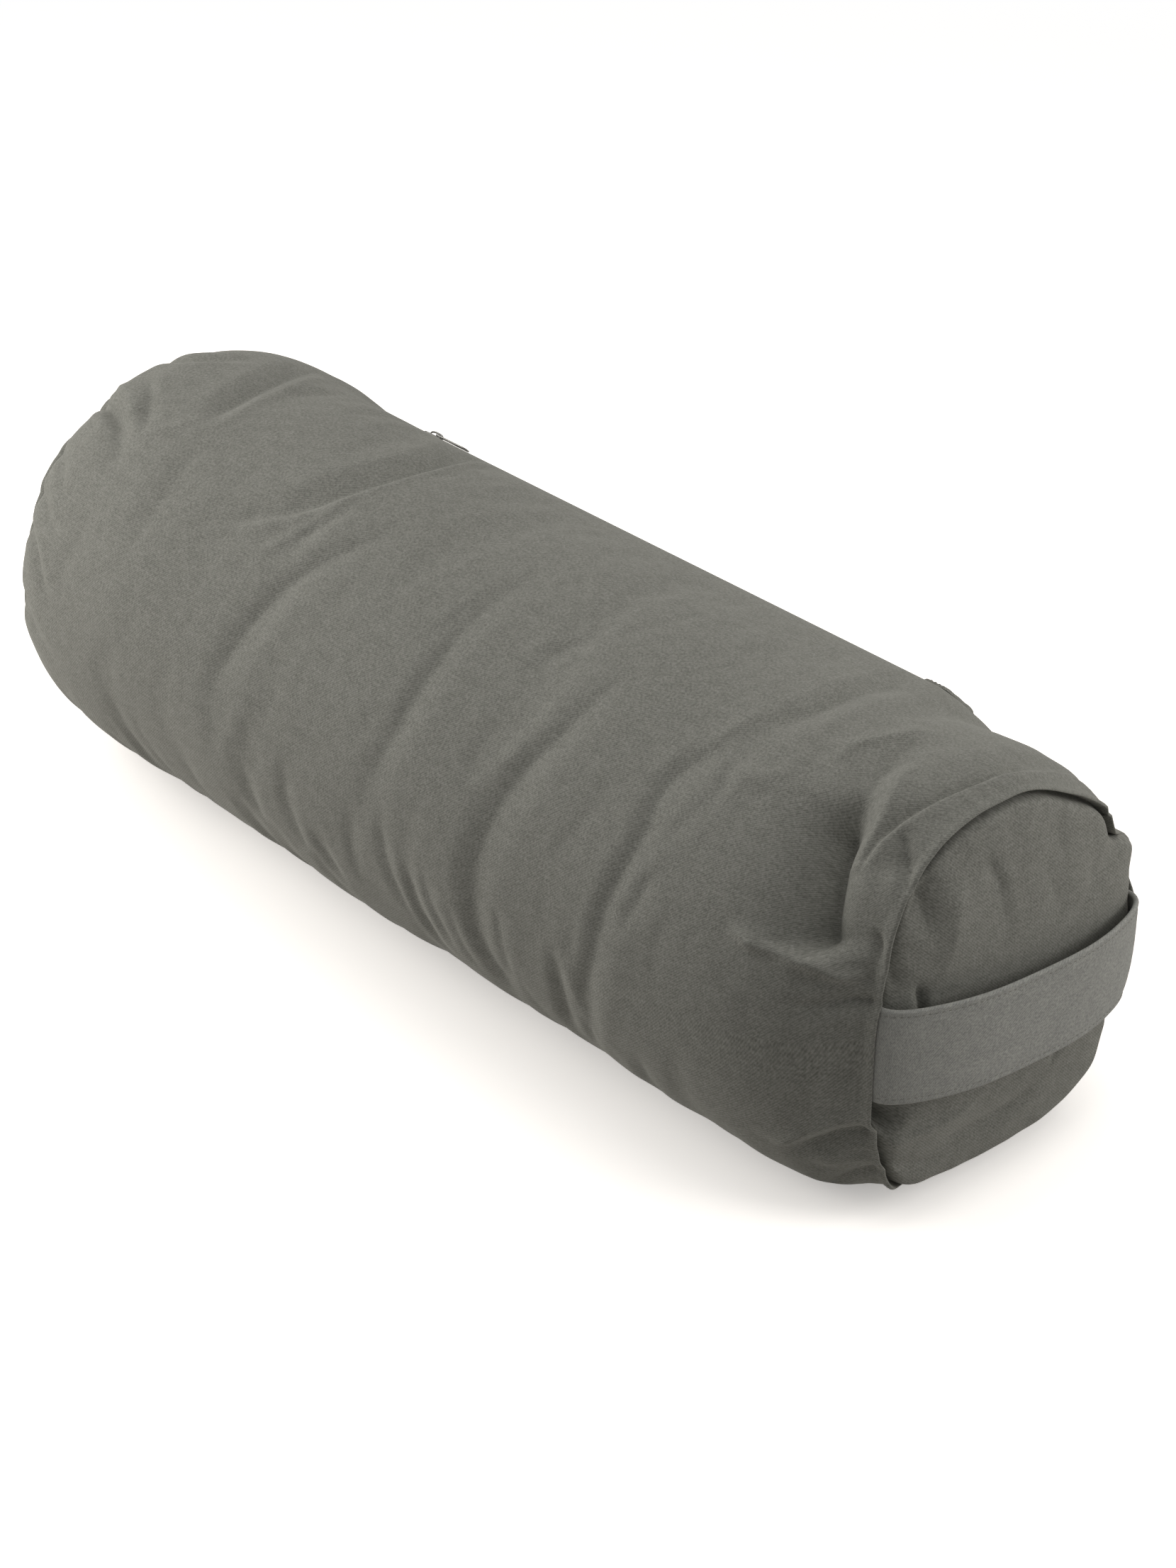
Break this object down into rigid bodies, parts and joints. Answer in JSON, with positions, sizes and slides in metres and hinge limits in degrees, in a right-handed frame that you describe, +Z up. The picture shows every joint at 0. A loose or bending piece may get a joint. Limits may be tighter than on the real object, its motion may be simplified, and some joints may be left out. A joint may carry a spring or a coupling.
{
  "type": "yoga bolster",
  "caption": "Round yoga bolster: a zipped twill cover with gathered ends and a carrying handle over a stuffed inner cushion.",
  "frame": {"origin": "on the ground under the middle of the whole object's box", "axes": "+X along the bolster towards the end with the carrying handle, +Z up as it lies on its side, zip on the +Y side"},
  "size_m": [0.6956, 0.2498, 0.21],
  "materials": {
    "cover_twill": "warm grey cotton twill, matt, slightly fuzzy",
    "handle_twill": "the same twill, folded double and edge stitched",
    "zip_tape": "woven polyester tape",
    "zip_coil": "nylon coil",
    "zip_metal": "dull die-cast metal",
    "casing_cotton": "plain unbleached cotton",
    "loose_fibre": "loose plant fibre"
  },
  "bodies": {
    "cover": {"cover_body_panel": "cover_twill", "cover_handle_end_panel": "cover_twill", "cover_plain_end_panel": "cover_twill", "zip_upper_tape": "zip_tape", "zip_lower_tape": "zip_tape", "zip_upper_coil": "zip_coil", "zip_lower_coil": "zip_coil", "zip_upper_top_stop": "zip_metal", "zip_lower_top_stop": "zip_metal", "zip_bottom_stop": "zip_metal", "zip_end_tab": "cover_twill", "casing_body_panel": "casing_cotton", "casing_handle_end_panel": "casing_cotton", "casing_plain_end_panel": "casing_cotton", "stuffing": "loose_fibre"},
    "handle": {"carry_handle": "handle_twill"},
    "slider": {"zip_slider": "zip_metal"},
    "pull": {"zip_pull": "zip_metal"}
  },
  "joints": [
    {"name": "handle_lift", "type": "slide", "parent": "cover", "child": "handle", "axis": [1, 0, 0], "range_m": [0, 0.02]},
    {"name": "zip_slide", "type": "slide", "parent": "cover", "child": "slider", "axis": [1, 0, 0], "range_m": [0, 0.3728]},
    {"name": "pull_swing", "type": "hinge", "parent": "slider", "child": "pull", "pos_m": [-0.1892, 0.096, 0.1744], "axis": [0, -0.7071, 0.7071], "range_deg": [0, 180]}
  ]
}
